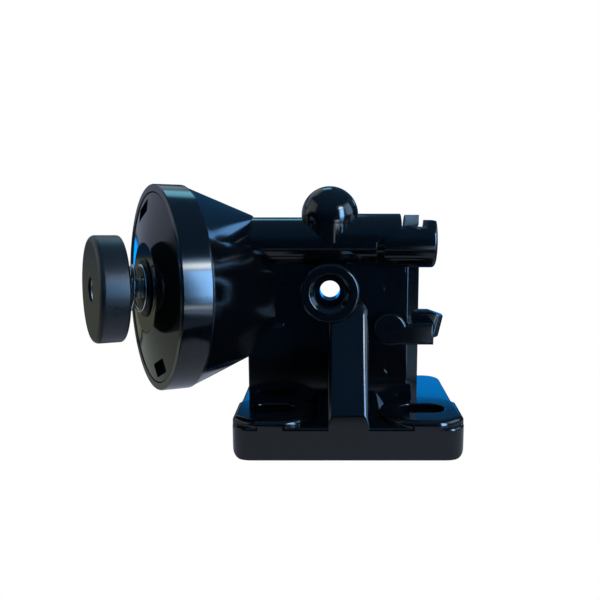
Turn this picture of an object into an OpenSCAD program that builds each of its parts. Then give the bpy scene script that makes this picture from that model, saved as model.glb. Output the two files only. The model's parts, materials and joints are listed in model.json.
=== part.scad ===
// Bobbin case on a bracket: a bell with a cover disc, a bobbin on a stud inside it,
// and a spring and thumb nut on the stud that set how hard the disc brakes the bobbin.
// Millimetres. The origin is on the foot's underside, midway along its width, +Z is up,
// +X runs along the web away from the bell and -Y is the side the cross boss faces.

/* [Foot] */
// Width of the foot along the web
foot_w = 69.4; // [66:0.2:80]
// Depth of the foot, front to back
foot_d = 60.5; // [56:0.5:66]
// Reach of the foot in front of the origin
foot_reach = 27.5; // [26:0.5:30]
// Height of the foot at its plain top
foot_h = 9.8; // [8:0.2:11]
// Radius of the foot's upright corners
foot_corner_r = 6; // [3:0.5:8]
// Radius of the foot's lower long corners, seen from the front
foot_sole_r = 3; // [1:0.5:4]
// Rise of the two round bolt pads over the foot
pad_rise = 2.1; // [1:0.1:3]
// Radius of the bolt pads, which the foot's outline cuts
pad_r = 13.6; // [12.5:0.1:14]
// Radius of the bolt pads' top edges
pad_edge_r = 1.6; // [0.6:0.1:1.8]
// Distance of each bolt slot from the middle
slot_x = 23; // [21:0.5:24]
// Distance of the slots in front of the middle
slot_front = 14.4; // [13:0.2:16]
// End-to-end length of a bolt slot
slot_len = 14; // [11:0.5:16]
// Width of a bolt slot, for an M8 bolt
slot_w = 9; // [6:0.5:10]

/* [Web and rib] */
// Left end of the upright web
web_left = -31.5; // [-33:0.5:-30]
// Right end of the upright web
web_right = 22.7; // [20:0.1:24]
// Front face of the web
web_front = -6; // [-7:0.5:-5]
// Thickness of the web
web_t = 3.2; // [2.4:0.2:4]
// Width of the slope at the web's right end
web_slope = 3.8; // [2:0.2:5]
// Width of the front rib
rib_w = 12.4; // [9:0.2:14]
// Height of the rib's toe, flush with the foot's front
rib_toe_h = 13.6; // [12:0.2:15]
// Thickness of the rib behind the web
rear_rib_t = 5; // [3:0.5:6]
// Reach of the rear rib behind the web
rear_rib_reach = 24; // [15:1:27]

/* [Cross boss] */
// Place of the cross boss along the web
boss_x = -5.5; // [-7:0.5:-4]
// Height of the cross bore
boss_z = 48; // [46:0.5:48]
// Radius of the cross boss
boss_r = 8.7; // [8:0.1:9]
// Front face of the cross boss
boss_front = -17; // [-19:0.5:-15]
// Radius of the bore right through
cross_bore_r = 3.1; // [2.5:0.1:3.5]
// Radius of the counterbore
cross_counter_r = 4.6; // [4:0.1:5]
// Depth of the counterbore
cross_counter_depth = 7; // [5:0.5:8]
// Radius of the chamfered mouth
cross_mouth_r = 5.9; // [5.2:0.1:6.5]

/* [Cross tube] */
// Outer radius of the tube
tube_r = 7.4; // [7.2:0.1:7.8]
// Radius of the tube's bore
tube_bore_r = 5; // [4:0.1:5.5]
// Height of the tube's axis
tube_z = 62.8; // [62:0.1:64]
// Right end of the tube
tube_end = 27.2; // [26:0.2:30]
// Outer radius of the collar at the right end
collar_r = 8.2; // [8:0.1:8.6]
// Radius of the dome and its neck
dome_r = 8.8; // [8.2:0.1:9]
// Place of the dome along the tube
dome_x = -5.5; // [-7:0.1:-4]

/* [Bell] */
// Angle of the bell's axis, turned to the front from straight left
bell_yaw = 28.4; // [27:0.1:30]
// Angle of the bell's axis above level
bell_tilt = 1.8; // [1:0.1:3]
// Outer radius of the rim
rim_r = 29.9; // [29.4:0.1:31]
// Length of the straight rim
rim_len = 8.8; // [8:0.1:10]
// Radius of the cover disc
disc_r = 27.4; // [26.8:0.1:27.4]
// Thickness of the cover disc at its edge
disc_t = 2.1; // [1.5:0.1:2.1]
// Radius of the disc's raised flat middle
hub_r = 13.3; // [11:0.1:15]
// Length of the key windows in the disc
window_len = 10.5; // [6:0.5:11]
// Width of the key windows in the disc
window_w = 4; // [3.6:0.1:4.4]
// Angle of the key windows from the top, to the far side
window_turn = 22; // [0:1:40]

/* [Bobbin] */
// Radius of the bobbin's flanges
bobbin_r = 19.4; // [14:0.2:19.6]
// Radius of the bobbin's core
bobbin_core_r = 8; // [6:0.5:10]

/* [Stud, spring and knob] */
// Radius of the stud, an M6 thread
stud_r = 3; // [2.5:0.1:3]
// Outer radius of the spring
spring_r = 7; // [6.6:0.1:7.4]
// Wire diameter of the spring
wire_d = 1; // [0.8:0.1:1.1]
// Number of turns of the spring, with its flat ends
spring_turns = 2; // [1.75:0.25:2.25]
// Radius of the knob
knob_r = 15.2; // [12:0.1:18]
// Distance of the knob's face from the rim
knob_face = 17.5; // [17.2:0.1:18.5]
// Radius of the knob's front edge
knob_edge_r = 1.6; // [0.8:0.1:2.4]
// Radius of the knob's rear edge
knob_rear_r = 0.8; // [0.4:0.1:1.6]

/* [Hidden] */
$fn = 96;

enamel = [0.02, 0.02, 0.025];
steel = [0.72, 0.73, 0.75];
brass = [0.78, 0.62, 0.32];
felt = [0.55, 0.52, 0.46];
alu = [0.8, 0.81, 0.83];
rubbery = [0.13, 0.135, 0.14];

// Small overlap that joins pieces of one node
eps = 0.02;
// Reach of a cutter past what it cuts
past = 2;

foot_front = -foot_reach;
foot_back = foot_front + foot_d;
pad_top = foot_h + pad_rise;
slot_y = -slot_front;
web_back = web_front + web_t;
web_top = tube_z - tube_r / 2;
// The tube stands over the middle of the web
tube_y = web_front + web_t / 2;
tube_left = -29.6;
collar_x = 10.8;
groove_w = 1.9;
groove_depth = 0.7;
tube_bore_left = -22;
// Raised sleeve over the tube's right part
sleeve_r = tube_r;
sleeve_lift = 1.15;
sleeve_end = 16.4;
// Ramp on the collar: places along the tube, and heights over its axis
ramp_x = [11.6, 16.9, 19.4];
ramp_z = [1.4, 4.4, 4.7, 3.6];
clear_z = 2 * collar_r;
dome_rise = 8.2;
// The dome's neck narrows to just over the tube's radius, so it ends in a blunt point on the tube's front
dome_foot_over = 0.2;
dome_foot_r = tube_r + dome_foot_over;

// Bell frame: x up, y to the far side, z out along the axis, z = 0 at the rim's face
bell_at = [-57, -21.6, 50.5];
bell_root_x = -22.7;
bell_root_z = [26.2, 39, 53];
bell_wrap = 0.4;
// Depth inside the rim's back at which the skin starts, and the length of its start
skin_in = 0.15;
skin_lap = 0.5;
// Gap between the bell's cone and the tube that passes over it
tube_gap = 0.05;

// Places along the bell's axis, from the cavity's floor outwards
floor_z = -19;
floor_r = 13;
cavity_r = 25;
cavity_straight = 9.5;
ring_r = [6.9, 9.5];
ring_top = -14.8;
felt_t = 1.5;
run_gap = 0.1;
flange_t = 1;
bobbin_back = ring_top + felt_t + run_gap;
bobbin_front = -4.4;
disc_front = -0.2;
disc_back = disc_front - disc_t;
hub_front = 2.45;
disc_gap = 0.25;
// Room for the disc to move in as the felts wear
disc_float = 0.6;
ledge_z = disc_back - disc_float;
// Reach of the windows past the cavity's wall, over the ledge
window_over = 0.7;
window_inner = cavity_r + window_over - window_w;
// Reach of the pressure plate past the felt
plate_over = 0.5;
plate_t = 0.6;
seat_t = 0.5;
seat_r = 8.5;
washer_t = 0.9;
washer_r = 8;
knob_back = 9.35;
knob_hole_r = 3.6;
insert_r = 5.5;
insert_len = 7.4;
stud_back = -26.5;
stud_front = 14.4;
stud_insert_back = -27;
stud_insert_r = 5;
run_fit = 0.05;
seat_fit = 0.3;
lock_washer_t = 0.8;
lock_washer_r = 5.4;
jam_nut_t = 3;
jam_nut_r = 5.77;
bush_r = 4.5;
bush_len = 3;
bush_fit = 0.02;

// Spring: from the seat to the washer behind the knob
spring_low = hub_front + seat_t;
spring_high = knob_back - washer_t;
spring_mean_r = spring_r - wire_d / 2;
spring_sides = 6;
spring_rings_a_turn = 8;
spring_steps = ceil(spring_turns * spring_rings_a_turn);
// Distance of the wire's middle from what the spring's ends press on
coil_end = 0.55 * wire_d;
// Angle from the top where the wire starts, and the part of a turn that lies flat at each end
coil_start = 10;
coil_flat = 0.28;

// Point on the spring's wire, from u = 0 at the disc to u = 1 at the knob; the coil is left-handed
function coil_angle(u) = coil_start - 360 * spring_turns * u;
function coil_rise(u) = min(1, max(0, (u * spring_turns - coil_flat) / (spring_turns - 2 * coil_flat)));
function coil_height(u) = spring_low + coil_end + (spring_high - spring_low - 2 * coil_end) * coil_rise(u);
function coil_point(u) = [spring_mean_r * cos(coil_angle(u)), spring_mean_r * sin(coil_angle(u)),
                          coil_height(u)];
function coil_tangent(u) = [sin(coil_angle(u)), -cos(coil_angle(u)), 0];
// The wire's path, with a straight end one wire long before and after the turns
coil_path = concat([coil_point(0) - wire_d * coil_tangent(0)],
                   [for (i = [0 : spring_steps]) coil_point(i / spring_steps)],
                   [coil_point(1) + wire_d * coil_tangent(1)]);
function coil_u(i) = min(1, max(0, (i - 1) / spring_steps));
// One ring of the wire: outwards from the axis and along it
function coil_ring(i) = [for (k = [0 : spring_sides - 1])
    let (a = 360 * k / spring_sides, t = coil_angle(coil_u(i)))
    coil_path[i] + wire_d / 2 * [cos(a) * cos(t), cos(a) * sin(t), sin(a)]];
coil_points = [for (i = [0 : len(coil_path) - 1]) each coil_ring(i)];
coil_last = len(coil_path) - 1;
// Two triangles on each side of each stretch, and a fan at each end
coil_faces = concat(
    [for (i = [0 : coil_last - 1], k = [0 : spring_sides - 1], h = [0, 1])
        let (a = i * spring_sides + k, b = i * spring_sides + (k + 1) % spring_sides)
        h == 0 ? [a, b, a + spring_sides] : [b, b + spring_sides, a + spring_sides]],
    [for (k = [1 : spring_sides - 2]) [0, k + 1, k]],
    [for (k = [1 : spring_sides - 2])
        [coil_last * spring_sides, coil_last * spring_sides + k, coil_last * spring_sides + k + 1]]);
// Least gap between turns, measured on points a whole turn apart
coil_gap = min([for (i = [1 : coil_last - 1], j = [1 : coil_last - 1])
    if (j - i >= spring_rings_a_turn - 2) norm(coil_path[j] - coil_path[i]) - wire_d]);
echo(least_gap_between_spring_turns = coil_gap);

// Puts children on the bell's axis
module on_bell(along = 0) {
    translate(bell_at)
        rotate([0, bell_tilt - 90, bell_yaw])
            translate([0, 0, along])
                children();
}

// Flat ring or tube along the bell's axis
module ring_on_bell(back, front, outer_r, inner_r) {
    on_bell(back)
        difference() {
            cylinder(h = front - back, r = outer_r);
            translate([0, 0, -past])
                cylinder(h = front - back + 2 * past, r = inner_r);
        }
}

// Cylinder along X from x0 to x1 on the cross tube's axis
module on_tube(x0, x1, r) {
    translate([x0, tube_y, tube_z])
        rotate([0, 90, 0])
            cylinder(h = x1 - x0, r = r);
}

// Cylinder along Y from y0 at the front to y1 at the back, on the cross bore's axis
module on_cross(y0, y1, r0, r1) {
    translate([boss_x, y1, boss_z])
        rotate([90, 0, 0])
            cylinder(h = y1 - y0, r1 = r1, r2 = r0);
}

// Outline drawn in X and Z, standing from y0 at the front to y1 at the back
module front_outline(y0, y1) {
    translate([0, y1, 0])
        rotate([90, 0, 0])
            linear_extrude(y1 - y0)
                children();
}

// Outline drawn in Y and Z, running from x0 to x1
module side_outline(x0, x1) {
    translate([x0, 0, 0])
        rotate([90, 0, 90])
            linear_extrude(x1 - x0)
                children();
}

// Rectangle with round corners, about its middle
module round_rect(w, d, r) {
    square([w - 2 * r, d], center = true);
    square([w, d - 2 * r], center = true);
    for (x = [-1, 1], y = [-1, 1])
        translate([x * (w / 2 - r), y * (d / 2 - r)])
            circle(r);
}

// Stadium along X, about its middle
module stadium(length, width) {
    square([length - width, width], center = true);
    for (side = [-1, 1])
        translate([side * (length - width) / 2, 0])
            circle(d = width);
}

// Round raised pad about one slot, with a rounded top edge
module pad(side) {
    translate([side * slot_x, slot_y])
        rotate_extrude() {
            square([pad_r - pad_edge_r, pad_top]);
            square([pad_r, pad_top - pad_edge_r]);
            translate([pad_r - pad_edge_r, pad_top - pad_edge_r])
                circle(pad_edge_r);
        }
}

// Foot with rounded lower corners, bolt pads and slots
module foot() {
    difference() {
        intersection() {
            translate([0, (foot_front + foot_back) / 2, 0])
                linear_extrude(pad_top)
                    round_rect(foot_w, foot_d, foot_corner_r);
            front_outline(-foot_d, foot_d) {
                translate([0, pad_top])
                    round_rect(foot_w, 2 * pad_top, foot_sole_r);
                translate([0, foot_h])
                    square([foot_w, foot_h], center = true);
            }
            union() {
                translate([-foot_w, -foot_d, 0])
                    cube([2 * foot_w, 2 * foot_d, foot_h]);
                for (side = [-1, 1])
                    pad(side);
            }
        }
        for (side = [-1, 1])
            translate([side * slot_x, slot_y, -past])
                linear_extrude(pad_top + 2 * past)
                    stadium(slot_len, slot_w);
    }
}

// Upright web with its right end sloped back, and a low step at its foot
module web() {
    step_front = 2;
    step_top = 17.8;
    step_x = [5, 20.5];
    end_t = 0.4;
    translate([0, 0, foot_h - eps])
        linear_extrude(web_top - foot_h)
            polygon([[web_left, web_front], [web_right - web_slope, web_front],
                     [web_right, web_back - end_t], [web_right, web_back], [web_left, web_back]]);
    translate([step_x[0], web_front - step_front, foot_h - eps])
        cube([step_x[1] - step_x[0], step_front + eps, step_top - foot_h]);
}

// What the mould leaves on the web's front: a raised strip under the tube, three round marks and a small ledge
module web_marks() {
    strip_x = [-22, 7.8, 10.5, 18.2];
    strip_z = [56.1, 53.9, 53];
    strip_rise = 0.45;
    // Place along the web, height and radius of each mark
    marks = [[-20.2, 51.4, 2.3], [14, 49.2, 2.9], [14.6, 23.1, 3.1]];
    mark_rise = 0.25;
    ledge_at = [-23.4, 35.7];
    ledge_size = [3.5, 1.5];
    ledge_rise = 0.95;
    front_outline(web_front - strip_rise, web_front + eps)
        polygon([[strip_x[0], strip_z[0]], [strip_x[1], strip_z[0]], [strip_x[2], strip_z[1]],
                 [strip_x[3], strip_z[2]], [strip_x[3], web_top], [strip_x[0], web_top]]);
    for (mark = marks)
        front_outline(web_front - mark_rise, web_front + eps)
            translate([mark[0], mark[1]])
                circle(mark[2]);
    front_outline(web_front - ledge_rise, web_front + eps)
        translate(ledge_at)
            square(ledge_size);
}

// Leaning rib from the foot's front up to the cross boss, with a round shoulder
module front_rib() {
    rib_drop = 2.4;
    rib_top = boss_z - rib_drop;
    rib_step = 0.6;
    rib_top_y = boss_front + rib_step;
    shoulder_r = 4.4;
    intersection() {
        side_outline(-rib_w / 2, rib_w / 2)
            polygon([[foot_front, foot_h - eps], [foot_front, rib_toe_h],
                     [rib_top_y, rib_top], [web_front + eps, rib_top], [web_front + eps, foot_h - eps]]);
        front_outline(-foot_d, 0) {
            translate([-rib_w / 2, 0])
                square([rib_w, rib_top - shoulder_r]);
            translate([-rib_w / 2, 0])
                square([rib_w - shoulder_r, rib_top]);
            translate([rib_w / 2 - shoulder_r, rib_top - shoulder_r])
                circle(shoulder_r);
        }
    }
}

// Rib behind the web, from the foot up to the tube
module rear_rib() {
    rear_rib_x = 1.5;
    rear_rib_top = 54;
    rear_rib_heel = 2;
    rear_rib_neck = 3;
    side_outline(rear_rib_x, rear_rib_x + rear_rib_t)
        polygon([[web_back - eps, foot_h - eps], [web_back + rear_rib_reach, foot_h - eps],
                 [web_back + rear_rib_reach, foot_h + rear_rib_heel], [web_back + rear_rib_neck, rear_rib_top],
                 [web_back - eps, rear_rib_top]]);
}

// Hooked arm at the right: a round-backed front prong and a longer slant-ended one behind
module arm() {
    arm_front = -12;
    front_round_r = 5.2;
    front_round = [13, 36];
    front_low = 31.2;
    front_high = 38;
    front_end = 26.6;
    rear_y = [-5, 0.5];
    rear_x = [12, 26, 29.2, 30.8];
    rear_z = [32, 39, 40.6];
    bridge_x = [18, 25];
    bridge_drop = 1;
    front_outline(arm_front, web_front + eps) {
        translate(front_round)
            circle(front_round_r);
        translate([front_round[0], front_low])
            square([front_end - front_round[0], front_high - front_low]);
    }
    front_outline(rear_y[0], rear_y[1])
        polygon([[rear_x[0], rear_z[0]], [rear_x[2], rear_z[0]], [rear_x[3], rear_z[1]],
                 [rear_x[1], rear_z[2]], [rear_x[0], rear_z[2]]]);
    // Bridge that joins the two prongs under the web's edge
    translate([bridge_x[0], web_front - eps, front_low])
        cube([bridge_x[1] - bridge_x[0], web_t, front_high - front_low - bridge_drop]);
}

// Collar at the tube's right end, whose front is cut back along a ramp
module collar() {
    difference() {
        on_tube(collar_x, tube_end, collar_r);
        translate([0, 0, tube_z])
            front_outline(tube_y - 2 * collar_r, tube_y)
                polygon([[ramp_x[0], ramp_z[0]], [ramp_x[1], ramp_z[1]], [ramp_x[1], clear_z],
                         [collar_x - eps, clear_z], [collar_x - eps, ramp_z[0]]]);
    }
}

// Cross tube with its collar, a raised sleeve from the dome into the collar, and the domed boss on top
module tube_body() {
    on_tube(tube_left, collar_x - groove_w, tube_r);
    on_tube(collar_x - groove_w - eps, collar_x + eps, tube_r - groove_depth);
    translate([0, 0, sleeve_lift])
        on_tube(dome_x, sleeve_end, sleeve_r);
    collar();
    translate([dome_x, tube_y, tube_z]) {
        cylinder(h = dome_rise, r1 = dome_foot_r, r2 = dome_r);
        translate([0, 0, dome_rise])
            sphere(dome_r);
    }
}

// Cut through the collar: a dwell in its front wall, a slot beside the sleeve, a notch and a lowered end tab
module collar_cut() {
    notch_x = [22.2, 24.2];
    notch_z = 4.2;
    tab_z = 6.4;
    slot_gap = 1.4;
    translate([0, 0, tube_z]) {
        front_outline(tube_y - 2 * collar_r, tube_y)
            polygon([[sleeve_end, ramp_z[1]], [ramp_x[2], ramp_z[2]], [notch_x[0] + eps, ramp_z[3]],
                     [notch_x[0] + eps, clear_z], [sleeve_end, clear_z]]);
        front_outline(tube_y - 2 * collar_r, tube_y + 2 * collar_r) {
            polygon([[notch_x[0], notch_z], [notch_x[1], notch_z], [notch_x[1], tab_z],
                     [tube_end + past, tab_z], [tube_end + past, clear_z], [notch_x[0], clear_z]]);
            translate([sleeve_end, ramp_z[1]])
                square([slot_gap, clear_z]);
        }
    }
}

// Foot, web, ribs, cross boss, arm and cross tube, cast in one
module bracket() {
    color(enamel)
        difference() {
            union() {
                foot();
                web();
                web_marks();
                front_rib();
                rear_rib();
                arm();
                on_cross(boss_front, web_front + eps, boss_r, boss_r);
                tube_body();
            }
            on_tube(tube_bore_left, tube_end + past, tube_bore_r);
            collar_cut();
            on_cross(boss_front - past, web_back + past, cross_bore_r, cross_bore_r);
            on_cross(boss_front - past, boss_front + cross_counter_depth, cross_counter_r, cross_counter_r);
            on_cross(boss_front - eps, boss_front + cross_mouth_r - cross_counter_r,
                     cross_mouth_r, cross_counter_r);
        }
}

// Thin disc inside the rim's back that the skin starts from
module skin_start(step) {
    on_bell(-rim_len + skin_in)
        cylinder(h = step + skin_lap, r = rim_r - step, $fn = 72);
}

// Outside of the bell: a straight rim, a cone drawn in to the web and a neck drawn in to the tube's end
module bell_skin() {
    tube_skirt = 0.7;
    cone_step = 0.3;
    neck_step = 0.4;
    neck_lap = 1;
    on_bell(-rim_len)
        cylinder(h = rim_len, r = rim_r);
    hull() {
        skin_start(cone_step);
        front_outline(web_front - bell_wrap, web_back + bell_wrap)
            polygon([[web_left, bell_root_z[0]], [bell_root_x, bell_root_z[1]],
                     [bell_root_x, bell_root_z[2]], [web_left, bell_root_z[2]]]);
    }
    hull() {
        skin_start(neck_step);
        on_tube(tube_left - neck_lap, tube_left, tube_r + tube_skirt, $fn = 32);
    }
}

// Hollow of the bell, with a ledge for the disc and a ring on the floor for the felt
module bell_hollow() {
    recess_r = disc_r + disc_gap;
    difference() {
        on_bell()
            rotate_extrude()
                polygon([[0, floor_z], [floor_r, floor_z], [cavity_r, -cavity_straight], [cavity_r, ledge_z],
                         [recess_r, ledge_z], [recess_r, past], [0, past]]);
        ring_on_bell(floor_z - eps, ring_top, ring_r[1], ring_r[0]);
    }
}

// Key that stands in one of the disc's windows
module disc_key(turn) {
    key_gap = 0.3;
    key_top = -1.2;
    on_bell(-cavity_straight)
        rotate(turn)
            translate([window_inner + key_gap, -window_len / 2 + key_gap, 0])
                cube([window_w - 2 * key_gap, window_len - 2 * key_gap, key_top + cavity_straight]);
}

// Bell with its floor ring and keys; it is one casting with the bracket
module bell() {
    color(enamel) {
        difference() {
            bell_skin();
            bell_hollow();
            translate([web_left, web_front, 0])
                cube([web_right - web_left, web_t, tube_z]);
            on_tube(tube_left, web_right, tube_r + tube_gap);
            on_bell(stud_insert_back)
                cylinder(h = floor_z - stud_insert_back + past, r = stud_insert_r);
        }
        for (turn = [window_turn, window_turn + 180])
            disc_key(turn);
    }
}

// Threaded bush in the bell's floor that the stud is screwed into
module stud_insert() {
    color(brass)
        ring_on_bell(stud_insert_back, floor_z, stud_insert_r, stud_r + bush_fit);
}

// Threaded stud that carries the bobbin, the disc and the knob
module stud() {
    color(steel)
        on_bell(stud_back)
            cylinder(h = stud_front - stud_back, r = stud_r);
}

// Spring washer under the jam nut
module lock_washer() {
    color(steel)
        ring_on_bell(floor_z, floor_z + lock_washer_t, lock_washer_r, stud_r + run_fit);
}

// Hexagon nut that locks the stud to the floor
module jam_nut() {
    color(steel)
        on_bell(floor_z + lock_washer_t)
            difference() {
                cylinder(h = jam_nut_t, r = jam_nut_r, $fn = 6);
                translate([0, 0, -past])
                    cylinder(h = jam_nut_t + 2 * past, r = stud_r + bush_fit);
            }
}

// Felt brake washer behind the bobbin
module rear_felt() {
    color(felt)
        ring_on_bell(ring_top, ring_top + felt_t, ring_r[1], ring_r[0]);
}

// Bobbin flange, from back along the axis
module flange(back) {
    color(alu)
        ring_on_bell(back, back + flange_t, bobbin_r, bush_r + bush_fit);
}

module bobbin_flange_inner() flange(bobbin_back);

module bobbin_flange_outer() flange(bobbin_front - flange_t);

// Core between the flanges that the thread winds on
module bobbin_core() {
    color(alu)
        ring_on_bell(bobbin_back + flange_t, bobbin_front - flange_t, bobbin_core_r, bush_r + bush_fit);
}

// Plain bush that runs on the stud
module bush(back) {
    color(brass)
        ring_on_bell(back, back + bush_len, bush_r, stud_r + run_fit);
}

module bobbin_bush_inner() bush(bobbin_back);

module bobbin_bush_outer() bush(bobbin_front - bush_len);

// Felt brake washer in front of the bobbin
module front_felt() {
    color(felt)
        ring_on_bell(bobbin_front + run_gap, disc_back - plate_t, ring_r[1], ring_r[0]);
}

// Thin washer that spreads the disc's push over the felt
module pressure_plate() {
    color(steel)
        ring_on_bell(disc_back - plate_t, disc_back, ring_r[1] + plate_over, stud_r + seat_fit);
}

// Cover disc: a shallow cone with a raised flat middle and two key windows
module cover_disc() {
    color(enamel)
        difference() {
            on_bell()
                rotate_extrude()
                    polygon([[stud_r + seat_fit, disc_back], [disc_r, disc_back], [disc_r, disc_front],
                             [hub_r, hub_front], [stud_r + seat_fit, hub_front]]);
            for (turn = [window_turn, window_turn + 180])
                on_bell(disc_back - past)
                    rotate(turn)
                        translate([window_inner, -window_len / 2, 0])
                            cube([window_w, window_len, hub_front - disc_back + 2 * past]);
        }
}

// Dark washer that the spring stands on
module spring_seat() {
    color(enamel)
        ring_on_bell(hub_front, spring_low, seat_r, stud_r + seat_fit);
}

// Compression spring, one unbroken wire
module spring() {
    color(steel)
        on_bell()
            polyhedron(points = coil_points, faces = coil_faces);
}

// Washer between the spring and the knob
module knob_washer() {
    color(steel)
        ring_on_bell(knob_back - washer_t, knob_back, washer_r, stud_r + run_fit);
}

// Round thumb knob with rounded edges, a socket for its insert and a hole in its face
module knob() {
    knob_len = knob_face - knob_back;
    color(rubbery)
        on_bell(knob_back)
            rotate_extrude() {
                difference() {
                    union() {
                        translate([knob_hole_r, 0])
                            square([knob_r - knob_rear_r - knob_hole_r, knob_len - knob_edge_r]);
                        translate([knob_hole_r, 0])
                            square([knob_r - knob_edge_r - knob_hole_r, knob_len]);
                        translate([knob_hole_r, knob_rear_r])
                            square([knob_r - knob_hole_r, knob_len - knob_edge_r - knob_rear_r]);
                        translate([knob_r - knob_rear_r, knob_rear_r])
                            circle(knob_rear_r);
                        translate([knob_r - knob_edge_r, knob_len - knob_edge_r])
                            circle(knob_edge_r);
                    }
                    translate([0, -past])
                        square([insert_r + bush_fit, insert_len + past]);
                }
            }
}

// Threaded insert in the knob, which turns on the stud
module knob_insert() {
    color(brass)
        ring_on_bell(knob_back, knob_back + insert_len, insert_r, stud_r + run_fit);
}

bracket();
bell();
stud_insert();
stud();
lock_washer();
jam_nut();
rear_felt();
bobbin_flange_inner();
bobbin_core();
bobbin_flange_outer();
bobbin_bush_inner();
bobbin_bush_outer();
front_felt();
pressure_plate();
cover_disc();
spring_seat();
spring();
knob_washer();
knob();
knob_insert();
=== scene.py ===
"""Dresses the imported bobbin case: an enamelled bracket with a bell, a cover disc, a spring and a thumb knob.

Sizes are in millimetres unless a name or a comment says otherwise, and bench functions turn them to metres.
"""
import json
import logging
import math
from contextlib import contextmanager
from dataclasses import dataclass
from enum import Enum
from typing import Callable, Iterator, Sequence

import bmesh
import bpy
from mathutils import Matrix, Vector


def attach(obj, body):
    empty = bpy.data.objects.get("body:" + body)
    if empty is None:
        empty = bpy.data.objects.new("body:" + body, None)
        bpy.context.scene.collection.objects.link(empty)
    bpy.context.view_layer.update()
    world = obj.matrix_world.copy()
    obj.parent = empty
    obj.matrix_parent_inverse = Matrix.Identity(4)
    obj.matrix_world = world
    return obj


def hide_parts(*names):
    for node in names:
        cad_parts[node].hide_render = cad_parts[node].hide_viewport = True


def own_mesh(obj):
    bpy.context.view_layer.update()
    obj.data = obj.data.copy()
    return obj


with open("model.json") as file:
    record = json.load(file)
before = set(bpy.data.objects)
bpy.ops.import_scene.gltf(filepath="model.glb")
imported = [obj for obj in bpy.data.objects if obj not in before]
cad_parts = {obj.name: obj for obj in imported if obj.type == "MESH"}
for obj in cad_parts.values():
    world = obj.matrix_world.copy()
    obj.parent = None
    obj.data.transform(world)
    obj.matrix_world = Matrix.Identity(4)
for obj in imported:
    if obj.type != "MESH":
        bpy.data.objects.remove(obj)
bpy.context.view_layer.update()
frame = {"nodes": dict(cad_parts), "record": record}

LOG = logging.getLogger("bobbin_case")
MM = 0.001
# Corners closer than this are made one, in metres
MERGE = 0.002 * MM
UP = Vector((0, 0, 1))
Point = Sequence[float]
PointTest = Callable[[Vector], bool]
EdgeTest = Callable[[Vector, Vector], bool]
Piece = bpy.types.Object
Tree = bpy.types.NodeTree
Node = bpy.types.Node
Feed = tuple[Node, str]


class Plane(Enum):
    """Plane that an outline is drawn in; the solid grows along the third axis."""

    FRONT = (0, 2, 1)
    SIDE = (1, 2, 0)
    TOP = (0, 1, 2)


class Combine(Enum):
    """Ways to combine two solids."""

    JOIN = "UNION"
    CUT = "DIFFERENCE"
    KEEP_COMMON = "INTERSECT"


# Bench: small modelling steps that every piece uses


def clear_selection() -> None:
    """Leaves edit mode and deselects everything."""
    active = bpy.context.view_layer.objects.active
    if active and active.mode != "OBJECT":
        bpy.ops.object.mode_set(mode="OBJECT")
    bpy.ops.object.select_all(action="DESELECT")


def choose(piece: Piece) -> None:
    """Makes one piece the only selected and active one.

    Args:
        piece: Piece to choose.
    """
    clear_selection()
    piece.select_set(True)
    bpy.context.view_layer.objects.active = piece


@contextmanager
def editing(piece: Piece) -> Iterator[None]:
    """Opens a piece in edit mode with everything selected, and closes it afterwards.

    Args:
        piece: Piece to edit.

    Yields:
        Nothing, while the piece is open.
    """
    choose(piece)
    bpy.ops.object.mode_set(mode="EDIT")
    bpy.ops.mesh.select_all(action="SELECT")
    yield
    bpy.ops.object.mode_set(mode="OBJECT")


def face_outwards() -> None:
    """Turns the faces of the mesh that is open outwards."""
    bpy.ops.mesh.select_all(action="SELECT")
    bpy.ops.mesh.normals_make_consistent(inside=False)


def settle(name: str) -> Piece:
    """Names the active object and puts its place, turn and size into its mesh.

    Args:
        name: Name for the object and its mesh.

    Returns:
        The object, at the origin, unturned and unscaled.
    """
    piece = bpy.context.view_layer.objects.active
    bpy.ops.object.transform_apply(location=True, rotation=True, scale=True)
    piece.name = piece.data.name = name
    return piece


def block(name: str, low: Point, high: Point) -> Piece:
    """Adds a box between two corners.

    Args:
        name: Name of the new object.
        low: Lowest corner.
        high: Highest corner.

    Returns:
        The new object.
    """
    clear_selection()
    middle = [(a + b) / 2 * MM for a, b in zip(low, high)]
    size = [(b - a) * MM for a, b in zip(low, high)]
    bpy.ops.mesh.primitive_cube_add(size=1, location=middle, scale=size)
    return settle(name)


def rod(name: str, start: Point, end: Point, radius: float, end_radius: float | None = None,
        segments: int = 96) -> Piece:
    """Adds a round rod or a taper between two points.

    Args:
        name: Name of the new object.
        start: Middle of the first end.
        end: Middle of the second end.
        radius: Radius at the first end.
        end_radius: Radius at the second end, if it isn't the same.
        segments: Number of sides.

    Returns:
        The new object.
    """
    clear_selection()
    along = (Vector(end) - Vector(start)) * MM
    middle = (Vector(end) + Vector(start)) / 2 * MM
    bpy.ops.mesh.primitive_cone_add(
        vertices=segments, radius1=radius * MM, radius2=(radius if end_radius is None else end_radius) * MM,
        depth=along.length, location=middle, rotation=along.to_track_quat("Z", "Y").to_euler())
    return settle(name)


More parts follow.
